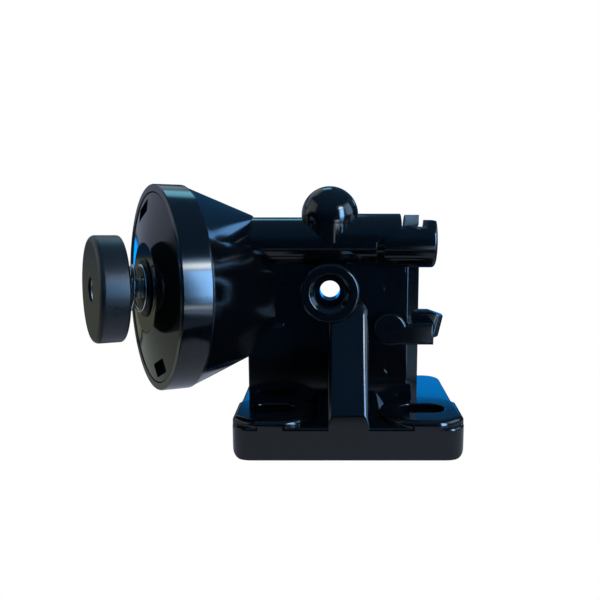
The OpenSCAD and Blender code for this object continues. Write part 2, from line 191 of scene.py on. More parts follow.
def prism(name: str, plane: Plane, outline: Sequence[Point], low: float, high: float) -> Piece:
    """Adds a solid with a flat outline.

    Args:
        name: Name of the new object.
        plane: Plane that the outline is drawn in.
        outline: Corners of the outline, in order.
        low: Where the solid starts along the plane's third axis.
        high: Where it ends.

    Returns:
        The new object.
    """
    clear_selection()
    bpy.ops.mesh.primitive_circle_add(vertices=len(outline), fill_type="NGON")
    piece = settle(name)
    first, second, third = plane.value
    for vertex, corner in zip(piece.data.vertices, outline):
        vertex.co[first] = corner[0] * MM
        vertex.co[second] = corner[1] * MM
        vertex.co[third] = low * MM
    rise = [0.0, 0.0, 0.0]
    rise[third] = (high - low) * MM
    with editing(piece):
        bpy.ops.mesh.extrude_region_move(TRANSFORM_OT_translate={"value": rise})
        face_outwards()
    return piece


def turned(name: str, profile: Sequence[Point], origin: Vector, axis: Vector, across: Vector,
           steps: int = 96) -> Piece:
    """Turns a closed profile about an axis, as on a lathe.

    Args:
        name: Name of the new object.
        profile: Corners as radius and place along the axis.
        origin: Point on the axis, in metres.
        axis: Direction of the axis.
        across: Direction of the radius at the first step.
        steps: Number of steps in the turn.

    Returns:
        The new object.
    """
    clear_selection()
    bpy.ops.mesh.primitive_circle_add(vertices=len(profile), fill_type="NOTHING")
    piece = settle(name)
    for vertex, (radius, along) in zip(piece.data.vertices, profile):
        vertex.co = origin + across * (radius * MM) + axis * (along * MM)
    with editing(piece):
        bpy.ops.mesh.spin(steps=steps, angle=math.tau, center=origin, axis=axis)
        bpy.ops.mesh.select_all(action="SELECT")
        bpy.ops.mesh.remove_doubles(threshold=MERGE)
        face_outwards()
    return piece


def hull(name: str, points: Sequence[Vector], along: Vector = UP, rows: int = 0) -> Piece:
    """Wraps points in the smallest convex solid.

    Args:
        name: Name of the new object.
        points: The points, in metres.
        along: Direction that the rows are stepped off in.
        rows: Number of cuts across that direction, so that the shading follows the solid's straight lines.

    Returns:
        The new object.
    """
    mesh = bpy.data.meshes.new(name)
    mesh.from_pydata(points, [], [])
    piece = bpy.data.objects.new(name, mesh)
    bpy.context.collection.objects.link(piece)
    places = [point.dot(along) for point in points]
    with editing(piece):
        bpy.ops.mesh.convex_hull()
        for row in range(1, rows):
            bpy.ops.mesh.select_all(action="SELECT")
            place = min(places) + (max(places) - min(places)) * row / rows
            bpy.ops.mesh.bisect(plane_co=along * place, plane_no=along)
        face_outwards()
    return piece


def combine(base: Piece, how: Combine, *tools: Piece) -> None:
    """Combines tool solids into a base solid, one after the other, and removes them.

    Args:
        base: Solid that stays.
        how: Join, cut or keep what is common.
        *tools: Solids that are used up.
    """
    choose(base)
    for tool in tools:
        step = base.modifiers.new(how.name, "BOOLEAN")
        step.operation = how.value
        step.solver = "MANIFOLD"
        step.object = tool
        bpy.ops.object.modifier_apply(modifier=step.name)
        bpy.data.objects.remove(tool, do_unlink=True)


def soften(piece: Piece, width: float, segments: int = 3, where: EdgeTest | None = None,
           sharper_than: float = 32.0) -> None:
    """Rounds the sharp edges of a piece.

    Args:
        piece: Piece to change.
        width: Width of the rounding.
        segments: Number of faces across it.
        where: Test on an edge's two ends, in millimetres; every sharp edge is rounded without it.
        sharper_than: Angle in degrees between two faces from which their edge is sharp.
    """
    limit = math.radians(sharper_than)
    with editing(piece):
        bpy.ops.mesh.select_mode(type="EDGE")
        bpy.ops.mesh.select_all(action="DESELECT")
        for edge in bmesh.from_edit_mesh(piece.data).edges:
            if len(edge.link_faces) == 2 and edge.calc_face_angle(0) > limit:
                edge.select = where is None or where(edge.verts[0].co / MM, edge.verts[1].co / MM)
        bmesh.update_edit_mesh(piece.data)
        bpy.ops.mesh.bevel(offset=width * MM, segments=segments, profile=0.5, affect="EDGES",
                           clamp_overlap=True)


def smooth(piece: Piece, angle: float) -> None:
    """Shades a piece smooth up to an angle, with flat faces kept flat.

    Args:
        piece: Piece to shade.
        angle: Angle in degrees above which an edge stays sharp.
    """
    with editing(piece):
        bpy.ops.mesh.remove_doubles(threshold=MERGE)
    bpy.ops.object.shade_smooth_by_angle(angle=math.radians(angle))
    step = piece.modifiers.new("flat_faces", "WEIGHTED_NORMAL")
    step.keep_sharp = True
    step.weight = 80
    bpy.ops.object.modifier_apply(modifier=step.name)


def near(value: float, wanted: float, slack: float = 0.05) -> bool:
    """Tells whether two sizes agree."""
    return abs(value - wanted) < slack


def both(test: PointTest) -> EdgeTest:
    """Edge test that holds where both ends pass a test on points."""
    return lambda a, b: test(a) and test(b)


def in_plane(axis: str, place: float) -> EdgeTest:
    """Edge test for the edges that lie at one place along an axis."""
    return both(lambda point: near(getattr(point, axis), place))


def upright(a: Vector, b: Vector) -> bool:
    """Edge test for the edges whose ends differ in height."""
    return not near(a.z, b.z)


# Finishes


def linear(colour: str) -> tuple[float, float, float, float]:
    """Turns an sRGB hex colour to linear values.

    Args:
        colour: Six hex digits after a hash sign.

    Returns:
        Red, green, blue and alpha.
    """
    parts = [int(colour[i:i + 2], 16) / 255 for i in (1, 3, 5)]
    lin = [c / 12.92 if c <= 0.04045 else ((c + 0.055) / 1.055) ** 2.4 for c in parts]
    return lin[0], lin[1], lin[2], 1.0


def add_node(tree: Tree, kind: str, values: dict | None = None, feeds: dict | None = None,
             stops: Sequence[tuple[float, str]] = (), **settings: object) -> Node:
    """Adds one shader node.

    Args:
        tree: Tree that gets the node.
        kind: Blender's name for the node type.
        values: Constant for each named or numbered input.
        feeds: Node and output that feed each named or numbered input.
        stops: Places from 0 to 1 with hex colours, two or more, for a colour ramp.
        **settings: Attributes of the node itself.

    Returns:
        The new node.
    """
    node = tree.nodes.new(kind)
    for key, value in settings.items():
        setattr(node, key, value)
    for key, value in (values or {}).items():
        node.inputs[key].default_value = value
    for key, (source, output) in (feeds or {}).items():
        tree.links.new(source.outputs[output], node.inputs[key])
    for _ in stops[2:]:
        node.color_ramp.elements.new(0.5)
    for index, (place, colour) in enumerate(stops):
        node.color_ramp.elements[index].position = place
        node.color_ramp.elements[index].color = linear(colour)
    return node


def per_metre(size: float) -> float:
    """Texture scale at which one feature of a noise is about this size in millimetres."""
    return 1 / (size * MM)


@dataclass(frozen=True)
class Finish:
    """A material with the settings that all finishes share."""

    name: str
    colour: str
    second_colour: str
    roughness: float
    metallic: float = 0.0
    ior: float = 1.5
    # Size of the fine texture and depth of its bump
    grain: float = 0.5
    grain_depth: float = 0.01

    def material(self) -> bpy.types.Material:
        """Makes the material once and hands the same one out again.

        Returns:
            The material.
        """
        made = bpy.data.materials.get(self.name)
        if made:
            return made
        made = bpy.data.materials.new(self.name)
        made.use_nodes = True
        made.node_tree.nodes.clear()
        tree = made.node_tree
        shader = add_node(tree, "ShaderNodeBsdfPrincipled",
                          {"Metallic": self.metallic, "IOR": self.ior, "Roughness": self.roughness})
        add_node(tree, "ShaderNodeOutputMaterial", feeds={"Surface": (shader, "BSDF")})
        place = add_node(tree, "ShaderNodeTexCoord")
        self.pattern(tree, shader, place)
        return made

    def pattern(self, tree: Tree, shader: Node, place: Node) -> None:
        """Adds what is special to the finish; the plain one has a mottled colour and a fine bump.

        Args:
            tree: Tree of the material.
            shader: Its surface shader.
            place: Its texture coordinates.
        """
        spots = add_node(tree, "ShaderNodeTexNoise", {"Scale": per_metre(self.grain), "Detail": 4.0},
                         {"Vector": (place, "Object")})
        self.coat(tree, shader, (spots, "Fac"), (0.3, 0.7), (spots, "Fac"), 0.5, self.grain_depth)

    def coat(self, tree: Tree, shader: Node, tint_by: Feed, stops: Point, height_by: Feed,
             strength: float, depth: float) -> None:
        """Tints the surface from the first colour to the second and gives it relief.

        Args:
            tree: Tree of the material.
            shader: Its surface shader.
            tint_by: Node and output that choose the colour.
            stops: Values of that output for the first and the second colour.
            height_by: Node and output that give the relief.
            strength: Strength of the relief, from 0 to 1.
            depth: Depth that a height of 1 stands for.
        """
        tint = add_node(tree, "ShaderNodeValToRGB", feeds={"Fac": tint_by},
                        stops=list(zip(stops, (self.colour, self.second_colour))))
        tree.links.new(tint.outputs["Color"], shader.inputs["Base Color"])
        relief = add_node(tree, "ShaderNodeBump", {"Strength": strength, "Distance": depth * MM},
                          {"Height": height_by})
        tree.links.new(relief.outputs["Normal"], shader.inputs["Normal"])


@dataclass(frozen=True)
class Enamel(Finish):
    """Stoved gloss enamel on a casting: wet shine with faint orange peel, and dust specks that lie on it."""

    peel: float = 1.6
    peel_depth: float = 0.002
    dust_spacing: float = 1.3
    # Radius of a speck as a share of the spacing, and size of the dusty patches
    dust_size: float = 0.05
    patch: float = 14.0
    # Level of the patches' noise above which dust lies, and the range of the roughness as shares of its value
    dust_level: float = 0.56
    gloss_range: tuple[float, float] = (0.7, 1.5)

    def pattern(self, tree: Tree, shader: Node, place: Node) -> None:
        """Adds orange peel, dust and a little change in gloss.

        Args:
            tree: Tree of the material.
            shader: Its surface shader.
            place: Its texture coordinates.
        """
        peel = add_node(tree, "ShaderNodeTexNoise", {"Scale": per_metre(self.peel), "Detail": 1.0},
                        {"Vector": (place, "Object")})
        cells = add_node(tree, "ShaderNodeTexVoronoi", {"Scale": per_metre(self.dust_spacing)},
                         {"Vector": (place, "Object")})
        speck = add_node(tree, "ShaderNodeMath", {1: self.dust_size}, {0: (cells, "Distance")},
                         operation="LESS_THAN")
        # Dust gathers in patches, so a broad noise lets only some of the specks through
        patch = add_node(tree, "ShaderNodeTexNoise", {"Scale": per_metre(self.patch), "Detail": 2.0},
                         {"Vector": (place, "Object")})
        dusty = add_node(tree, "ShaderNodeMath", {1: self.dust_level}, {0: (patch, "Fac")},
                         operation="GREATER_THAN")
        dust = add_node(tree, "ShaderNodeMath", feeds={0: (speck, "Value"), 1: (dusty, "Value")},
                        operation="MULTIPLY")
        low, high = (self.roughness * share for share in self.gloss_range)
        gloss = add_node(tree, "ShaderNodeMapRange", {"To Min": low, "To Max": high},
                         {"Value": (patch, "Fac")})
        tree.links.new(gloss.outputs["Result"], shader.inputs["Roughness"])
        self.coat(tree, shader, (dust, "Value"), (0.0, 1.0), (peel, "Fac"), 1.0, self.peel_depth)


@dataclass(frozen=True)
class Turned(Finish):
    """Metal turned on a lathe: rings about the bell's axis that catch the light as arcs."""

    # Real turning marks are finer; at this pitch they show
    ring_pitch: float = 1.885

    def pattern(self, tree: Tree, shader: Node, place: Node) -> None:
        """Adds turning rings about the bell's axis.

        Args:
            tree: Tree of the material.
            shader: Its surface shader.
            place: Its texture coordinates.
        """
        axis = BellAxis.from_frame()
        turn = axis.matrix().inverted()
        centred = add_node(tree, "ShaderNodeMapping",
                           {"Location": turn.translation, "Rotation": turn.to_euler()},
                           {"Vector": (place, "Object")})
        # The wave runs through 20 radians where a noise of the same scale has one feature
        rings = add_node(tree, "ShaderNodeTexWave",
                         {"Scale": per_metre(self.ring_pitch) * math.tau / 20, "Distortion": 0.4,
                          "Detail": 1.0},
                         {"Vector": (centred, "Vector")}, wave_type="RINGS", rings_direction="Z")
        self.coat(tree, shader, (rings, "Fac"), (0.1, 0.9), (rings, "Fac"), 0.6, self.grain_depth)


@dataclass(frozen=True)
class Glow(Finish):
    """Lit sheet of the studio, which can fade out towards its edges."""

    second_colour: str = "#000000"
    roughness: float = 1.0
    strength: float = 1.0
    # Share of the sheet that fades towards its edges
    soft: float = 0.0

    def pattern(self, tree: Tree, shader: Node, place: Node) -> None:
        """Makes the sheet give light, from its UV map.

        Args:
            tree: Tree of the material.
            shader: Its surface shader.
            place: Its texture coordinates.
        """
        shader.inputs["Base Color"].default_value = linear(self.second_colour)
        shader.inputs["Specular IOR Level"].default_value = 0.5 if self.roughness < 1 else 0.0
        shader.inputs["Emission Color"].default_value = linear(self.colour)
        shader.inputs["Emission Strength"].default_value = self.strength
        if not self.soft:
            return
        parts = add_node(tree, "ShaderNodeSeparateXYZ", feeds={"Vector": (place, "UV")})
        fades = {}
        for slot, side in enumerate("XY"):
            off = add_node(tree, "ShaderNodeMath", {1: 0.5}, {0: (parts, side)}, operation="SUBTRACT")
            off = add_node(tree, "ShaderNodeMath", feeds={0: (off, "Value")}, operation="ABSOLUTE")
            fade = add_node(tree, "ShaderNodeMapRange", {"From Min": 0.5, "From Max": 0.5 - self.soft / 2},
                            {"Value": (off, "Value")}, interpolation_type="SMOOTHSTEP")
            fades[slot] = (fade, "Result")
        share = add_node(tree, "ShaderNodeMath", feeds=fades, operation="MULTIPLY")
        light = add_node(tree, "ShaderNodeMath", {1: self.strength}, {0: (share, "Value")},
                         operation="MULTIPLY")
        tree.links.new(light.outputs["Value"], shader.inputs["Emission Strength"])


# Black enamel, stoved on the casting: mirror-like, so its form shows only in what it reflects
ENAMEL = Enamel("black_stoved_enamel", "#050608", "#4A4F54", 0.12)
# The same enamel on the disc: glossier and flatter, with finer and darker dust
DISC_ENAMEL = Enamel("black_enamel_disc", "#060607", "#3A3C3E", 0.08, peel_depth=0.001, dust_size=0.04)
# Casting laid bare where it was bored and milled after painting: dull grey with a fine grain
BARE = Finish("bare_milled_casting", "#8A8D8C", "#A0A3A2", 0.42, 0.9, grain=0.25, grain_depth=0.008)
# Moulded phenolic knob: matt, with a fine spark-eroded grain that greys the highlight
KNOB = Finish("grained_black_plastic", "#0E0F11", "#16181B", 0.36, grain=0.3, grain_depth=0.04)
# Hard-drawn spring wire: bright, with a faint mottle
WIRE = Finish("bright_spring_wire", "#B9B8B4", "#DAD9D4", 0.2, 1.0, grain=0.25, grain_depth=0.004)
# Turned mild steel, left bright: cool grey with rings that catch the light
STEEL = Turned("turned_bright_steel", "#8E9092", "#B4B6B8", 0.3, 1.0, grain_depth=0.004)
# Free-cutting steel insert, zinc plated: pale and a little milky
INSERT = Turned("zinc_plated_steel", "#A7AEB0", "#C9D0D1", 0.34, 1.0, grain_depth=0.004, ring_pitch=2.513)
# Blackened washer: dark oxide with worn lighter spots
BLACKENED = Finish("blackened_steel", "#0E0F11", "#24262A", 0.36, 0.6, grain=0.6, grain_depth=0.006)
# Turned brass of the bushes: warm yellow with the same rings
BRASS = Turned("turned_brass", "#B08A45", "#CBA65C", 0.3, 1.0, grain_depth=0.004)
# Turned aluminium of the bobbin: pale grey with wider rings
ALUMINIUM = Turned("turned_aluminium", "#B6B8BA", "#D6D8DA", 0.32, 1.0, grain_depth=0.005, ring_pitch=2.827)
# Pressed wool felt: grey-brown, matt and fibrous
FELT = Finish("pressed_wool_felt", "#7C766A", "#9B958A", 0.95, grain=0.3, grain_depth=0.12)


def dress(piece: Piece, finish: Finish, body: str, node: str, angle: float = 32.0) -> None:
    """Shades a finished piece, gives it its material and its body, and hides the node that it stands for.

    Args:
        piece: The finished piece.
        finish: Its finish.
        body: Body that carries it.
        node: Node that it replaces.
        angle: Angle in degrees above which an edge stays sharp.
    """
    smooth(piece, angle)
    piece.data.materials.clear()
    piece.data.materials.append(finish.material())
    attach(piece, body)
    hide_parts(node)
    LOG.info("%s: %d faces, %s, rides on %s", piece.name, len(piece.data.polygons), finish.name, body)


# Sub-assemblies

# Where the bell's keys stand in the disc's windows, in degrees from the top to the far side
KEY_TURNS = (22, 202)


@dataclass(frozen=True)
class BellAxis:
    """The bell's axis, with its origin at the middle of the rim's face."""

    origin: Vector
    out: Vector
    up: Vector
    far: Vector

    @classmethod
    def from_frame(cls) -> "BellAxis":
        """Reads the axis from the joint that the bobbin spins on.

        Returns:
            The axis.
        """
        joint = next(j for j in frame["record"]["behaviour"]["joints"] if j["name"] == "bobbin_spin")
        out = Vector(joint["axis"]).normalized()
        up = (UP - out * out.z).normalized()
        return cls(Vector(joint["pos_m"]), out, up, out.cross(up))

    def point(self, radius: float, turn: float, along: float) -> Vector:
        """Point in metres.

        Args:
            radius: Distance from the axis.
            turn: Degrees from the top to the far side.
            along: Distance outwards from the rim's face.

        Returns:
            The point.
        """
        angle = math.radians(turn)
        ray = self.up * math.cos(angle) + self.far * math.sin(angle)
        return self.origin + ray * (radius * MM) + self.out * (along * MM)

    def radius(self, point: Vector) -> float:
        """Distance of a point in millimetres from the axis."""
        return (point * MM - self.origin).cross(self.out).length / MM

    def place(self, point: Vector) -> float:
        """Place of a point in millimetres along the axis."""
        return (point * MM - self.origin).dot(self.out) / MM

    def matrix(self) -> Matrix:
        """Matrix from a frame whose Z is the axis to the shared frame."""
        turn = Matrix((self.up, self.far, self.out)).transposed().to_4x4()
        return Matrix.Translation(self.origin) @ turn

    def turned(self, name: str, profile: Sequence[Point], steps: int = 128) -> Piece:
        """Turns a profile about the axis."""
        return turned(name, profile, self.origin, self.out, self.up, steps)

    def ring(self, name: str, hole: float, radius: float, back: float, front: float) -> Piece:
        """Turns a plain ring about the axis."""
        return self.turned(name, [(hole, back), (radius, back), (radius, front), (hole, front)])

    def rod(self, name: str, start: float, end: float, radius: float, end_radius: float | None = None,
            segments: int = 160) -> Piece:
        """Adds a round rod or a taper between two places along the axis."""
        ends = [self.point(0, 0, place) / MM for place in (start, end)]
        return rod(name, *ends, radius, end_radius, segments)

    def block(self, name: str, turn: float, low: Point, high: Point) -> Piece:
        """Adds a box in the axis's own frame, turned about it.

        Args:
            name: Name of the new object.
            turn: Degrees from the top to the far side.
            low: Lowest corner: outwards from the axis, round it, and along it.
            high: Highest corner.

        Returns:
            The new object.
        """
        piece = block(name, low, high)
        piece.data.transform(self.matrix() @ Matrix.Rotation(math.radians(turn), 4, "Z"))
        return piece


@dataclass
class Bracket:
    """The casting: foot, web, ribs, cross boss, arm, cross tube and dome.

    Outlines are corners in X and Z, unless a comment says otherwise.
    """

    # How far a feature reaches into the one that it joins
    sunk: float = 1.0
    foot_width: float = 69.4
    foot_front: float = -27.5
    foot_back: float = 33.0
    foot_top: float = 9.8
    foot_corner: float = 6.0
    foot_sole: float = 3.0
    pad_top: float = 11.9
    pad_radius: float = 13.6
    slot_x: float = 23.0
    slot_y: float = -14.4
    slot_length: float = 14.0
    slot_width: float = 9.0
    web_left: float = -31.5
    web_right: float = 22.7
    web_slope: float = 3.8
    web_front: float = -6.0
    web_back: float = -2.8
    web_top: float = 59.1
    strip: tuple[Point, ...] = ((-22, 56.1), (7.8, 56.1), (10.5, 53.9), (18.2, 53), (18.2, 62), (-22, 62))
    strip_rise: float = 0.45
    # Sunk rings: X, Z and radius
    ejector_marks: tuple[Point, ...] = ((-20.2, 51.4, 2.3), (14.0, 49.2, 2.9), (14.6, 23.1, 3.1))
    # Two opposite corners
    ledge: tuple[Point, ...] = ((-23.4, 35.7), (-19.9, 37.2))
    ledge_rise: float = 0.95
    rib_half: float = 6.2
    rib_toe: float = 13.6
    rib_top: float = 45.6
    rib_setback: float = 4.0
    rib_shoulder: float = 4.4
    rib_edge: float = 2.2
    # Corners in X, Y and Z
    gusset: tuple[Point, ...] = ((5, -7, 17.2), (9.2, -8, 15.1), (13.4, -11, 9.4), (8.1, -9, 14.5),
                                 (10.1, -18.8, 9.4), (5, -19.8, 9.4), (5, -7, 9.4), (13.6, -7, 9.4))
    step_left: float = 5.0
    step_right: float = 20.5
    step_top: float = 17.8
    step_depth: float = 2.0
    rear_rib_left: float = 1.5
    rear_rib_right: float = 6.5
    rear_rib_reach: float = 24.0
    rear_rib_end: float = 3.0
    rear_rib_top: float = 54.0
    boss_x: float = -5.5
    boss_z: float = 48.0
    boss_radius: float = 9.0
    boss_front: float = -17.0
    # Stepped bore with a rounded mouth: radius and depth behind the boss's face
    cross_bore: tuple[Point, ...] = ((0, -1), (6.4, -1), (6.36, -0.01), (6.1, 0.1), (5.85, 0.28), (4.9, 1.15),
                                     (4.68, 1.42), (4.6, 1.75), (4.6, 7), (3.1, 7), (3.1, 17), (0, 17))
    arm_front: float = -12.0
    arm_top: float = 38.0
    arm_bottom: float = 31.2
    arm_end: float = 26.6
    # The arm's round back, the two bends of its upper edge, and the bridge to the prong behind it
    arm_heel: tuple[float, float] = (13.0, 36.0)
    arm_heel_radius: float = 5.2
    arm_bends: tuple[float, float] = (18.9, 20.4)
    bridge: tuple[float, float] = (18.0, 25.0)
    prong: tuple[Point, ...] = ((12, 32), (29.2, 32), (30.8, 39), (26, 40.6), (12, 40.6))
    prong_end: float = 29.0
    prong_round: float = 2.8
    prong_front: float = -5.0
    prong_back: float = 0.5
    tube_y: float = -4.4
    tube_z: float = 62.8
    tube_radius: float = 7.4
    tube_bore: float = 5.0
    tube_left: float = -29.6
    tube_right: float = 27.2
    bore_left: float = -22.0
    groove_width: float = 1.9
    groove_depth: float = 0.7
    collar_left: float = 10.8
    collar_radius: float = 8.2
    sleeve_lift: float = 1.15
    sleeve_right: float = 16.4
    # Cam cut in the collar, whose cutters reach past the tube at the top and on both sides
    ramp: tuple[Point, ...] = ((11.6, 64.2), (16.9, 67.2), (16.9, 80), (9, 80), (9, 64.2))
    cam_floor: float = 67.2
    cam_crest: tuple[float, float] = (19.4, 67.5)
    cam_end: tuple[float, float] = (22.3, 66.4)
    cam_slot: float = 1.4
    notch_left: float = 22.2
    notch_right: float = 24.2
    notch_floor: float = 67.0
    end_floor: float = 69.2
    past_top: float = 80.0
    past_side: float = 17.0
    dome_x: float = -5.5
    dome_radius: float = 8.8
    dome_z: float = 71.0

    def rounded_block(self, name: str, top: float, edge: float) -> Piece:
        """Block with the foot's plan, rounded corners and a rounded top edge.

        Args:
            name: Name of the new object.
            top: Height of its top.
            edge: Width of the rounding of its top edge.

        Returns:
            The new object.
        """
        half = self.foot_width / 2
        piece = block(name, (-half, self.foot_front, 0), (half, self.foot_back, top))
        soften(piece, self.foot_corner, 10, upright)
        soften(piece, edge, 5, in_plane("z", top), 20)
        return piece

    def foot(self) -> Piece:
        """Builds the foot with its two round pads and slots.

        Returns:
            The foot.
        """
        half, past, on_sole = self.foot_width / 2, 5, in_plane("z", 0)
        foot = self.rounded_block("bracket_casting", self.foot_top, 0.9)
        sole = block("sole", (-half, self.foot_front - past, 0),
                     (half, self.foot_back + past, 2 * self.foot_top))
        soften(sole, self.foot_sole, 8, lambda a, b: on_sole(a, b) and near(a.x, b.x))
        combine(foot, Combine.KEEP_COMMON, sole)
        for x in (-self.slot_x, self.slot_x):
            pad = rod("pad", (x, self.slot_y, self.foot_top - 4), (x, self.slot_y, self.pad_top),
                      self.pad_radius)
            soften(pad, 1.6, 6, in_plane("z", self.pad_top))
            combine(pad, Combine.KEEP_COMMON, self.rounded_block("pad_limit", self.pad_top, 1.5))
            combine(foot, Combine.JOIN, pad)
        combine(foot, Combine.CUT, self.slot_cutter(-self.slot_x), self.slot_cutter(self.slot_x))
        soften(foot, 1.0, 4, self.on_slot_rim, 60)
        return foot

    def slot_cutter(self, x: float) -> Piece:
        """Solid that cuts one slot.

        Args:
            x: The slot's middle.

        Returns:
            The cutter.
        """
        reach = (self.slot_length - self.slot_width) / 2
        radius = self.slot_width / 2
        outline = []
        for side in (1, -1):
            for turn in range(25):
                a = math.radians(-90 + 180 * turn / 24)
                outline.append((x + side * (reach + radius * math.cos(a)),
                                self.slot_y + side * radius * math.sin(a)))
        return prism("slot", Plane.TOP, outline, -2, self.pad_top + 2)

    def on_slot_rim(self, a: Vector, b: Vector) -> bool:
        """Tells whether an edge is on the upper rim of a slot.

        Args:
            a: One end of the edge.
            b: The other end.

        Returns:
            True on the rim.
        """
        if not (near(a.z, self.pad_top) and near(b.z, self.pad_top)):
            return False
        middle = (a + b) / 2
        across = max(0.0, abs(abs(middle.x) - self.slot_x) - (self.slot_length - self.slot_width) / 2)
        return near(math.hypot(across, middle.y - self.slot_y), self.slot_width / 2, 0.15)

    def web(self) -> Piece:
        """Builds the upright web, sloped back at its right end, with its strip, ejector marks and ledge.

        Returns:
            The web.
        """
        front, back, right = self.web_front, self.web_back, self.web_right
        plan = [(self.web_left, front), (right - self.web_slope, front), (right, back - 0.4), (right, back),
                (self.web_left, back)]
        web = prism("web", Plane.TOP, plan, self.foot_top - self.sunk, self.web_top)
        soften(web, 0.5, 3, upright, 25)
        strip = prism("strip", Plane.FRONT, self.strip, front - self.strip_rise, front + self.sunk)
        soften(strip, 0.2, 2)
        combine(web, Combine.JOIN, strip)
        for x, z, radius in self.ejector_marks:
            mark = rod("ejector_mark", (x, front + 0.35, z), (x, front - 0.25, z), radius - 0.35,
                       radius + 0.25, segments=64)
            combine(web, Combine.CUT, mark)
        (left, bottom), (right, top) = self.ledge
        ledge = block("ledge", (left, front - self.ledge_rise, bottom), (right, front + self.sunk, top))
        soften(ledge, 0.45, 3)
        combine(web, Combine.JOIN, ledge)
        return web

    def rib_face(self, z: float) -> float:
        """Place of the leaning rib's face at a height."""
        lean = (self.boss_front + self.rib_setback - self.foot_front) / (self.rib_top - self.rib_toe)
        return self.foot_front + (z - self.rib_toe) * lean

    def front_rib(self) -> Piece:
        """Builds the leaning rib with a round shoulder, broad edges and a toe flush with the foot.

        Returns:
            The rib.
        """
        toe, root, behind = self.foot_front, self.foot_top - 3 * self.sunk, self.web_front + self.sunk
        side = [(self.rib_face(root), root), (self.rib_face(self.rib_top), self.rib_top),
                (behind, self.rib_top), (behind, root)]
        rib = prism("front_rib", Plane.SIDE, side, -self.rib_half, self.rib_half)
        at_shoulder = both(lambda p: near(p.x, self.rib_half) and near(p.z, self.rib_top))
        on_face, on_toe = both(lambda p: near(p.y, self.rib_face(p.z), 0.02)), in_plane("y", toe)
        at_root = in_plane("z", root)
        soften(rib, self.rib_shoulder, 8, at_shoulder)
        soften(rib, self.rib_edge, 6, lambda a, b: on_face(a, b) and not at_root(a, b))
        wide, high = 2 * self.rib_half, 2 * self.rib_top
        combine(rib, Combine.CUT, block("toe_cut", (-wide, toe - wide, 0), (wide, toe, high)))
        soften(rib, 0.3, 2, lambda a, b: on_toe(a, b) and max(a.z, b.z) > root + 0.1, 20)
        return rib

    def corner_gusset(self) -> Piece:
        """Builds the small gusset in the corner of the rib, the web and the foot, and the low step by it.

        Returns:
            The step with the gusset.
        """
        step = block("step", (self.step_left, self.web_front - self.step_depth, self.foot_top - self.sunk),
                     (self.step_right, self.web_front + self.sunk, self.step_top))
        soften(step, 0.4, 3)
        gusset = hull("gusset", [Vector(corner) * MM for corner in self.gusset])
        soften(gusset, 0.35, 2, sharper_than=15)
        combine(step, Combine.JOIN, gusset)
        return step

    def rear_rib(self) -> Piece:
        """Builds the rib behind the web.

        Returns:
            The rib.
        """
        low, top, root = self.foot_top - self.sunk, self.rear_rib_top, self.web_back - self.sunk
        far, depth = self.web_back + self.rear_rib_reach, self.rear_rib_end
        side = [(root, low), (far, low), (far, low + depth), (self.web_back + depth, top), (root, top)]
        rib = prism("rear_rib", Plane.SIDE, side, self.rear_rib_left, self.rear_rib_right)
        soften(rib, 0.8, 3)
        return rib

    def boss(self) -> Piece:
        """Builds the cross boss with a rounded front edge.

        Returns:
            The boss.
        """
        boss = rod("cross_boss", (self.boss_x, self.boss_front, self.boss_z),
                   (self.boss_x, self.web_front + self.sunk, self.boss_z), self.boss_radius)
        soften(boss, 0.9, 4, in_plane("y", self.boss_front))
        return boss

    def arm(self) -> Piece:
        """Builds the hooked arm: a round-backed front prong and a longer slant-ended one behind.

        Returns:
            The arm.
        """
        high, low, end = self.arm_top, self.arm_bottom, self.arm_end
        (x, z), radius = self.arm_heel, self.arm_heel_radius
        start = math.asin((high - 0.5 - z) / radius)
        stop = math.tau + math.asin((low - z) / radius)
        arc = [start + (stop - start) * i / 28 for i in range(29)]
        outline = [(x + radius * math.cos(a), z + radius * math.sin(a)) for a in arc]
        first, second = self.arm_bends
        outline += [(end, low), (end, high), (second, high), (first, high - 0.3)]
        arm = prism("arm", Plane.FRONT, outline, self.arm_front, self.web_front + self.sunk)
        soften(arm, 1.3, 5, in_plane("y", self.arm_front), 20)
        prong = prism("rear_prong", Plane.FRONT, self.prong, self.prong_front, self.prong_back)
        at_end = both(lambda p: near(p.y, self.prong_front) and p.x > self.prong_end)
        soften(prong, self.prong_round, 6, at_end)
        soften(prong, 0.5, 3, sharper_than=50)
        left, right = self.bridge
        bridge = block("bridge", (left, self.web_front - 0.5, low + 0.4),
                       (right, self.web_front + 3, high - 1))
        combine(arm, Combine.JOIN, prong, bridge)
        return arm

    def on_tube(self, name: str, left: float, right: float, radius: float,
                lift: float = 0.0) -> Piece:
        """Round rod on the cross tube's axis, or lifted off it."""
        y, z = self.tube_y, self.tube_z + lift
        return rod(name, (left, y, z), (right, y, z), radius, segments=128)

    def tube(self) -> Piece:
        """Builds the cross tube, its groove, its collar, its sleeve and the dome.

        Returns:
            The tube.
        """
        groove_left = self.collar_left - self.groove_width
        tube = self.on_tube("tube", self.tube_left - self.sunk, groove_left, self.tube_radius)
        soften(tube, 0.35, 3)
        groove = self.on_tube("groove", groove_left - self.sunk, self.collar_left + self.sunk,
                              self.tube_radius - self.groove_depth)
        sleeve = self.on_tube("sleeve", self.dome_x, self.sleeve_right, self.tube_radius, self.sleeve_lift)
        soften(sleeve, 0.3, 3)
        combine(tube, Combine.JOIN, groove, self.collar(), sleeve, self.dome())
        return tube

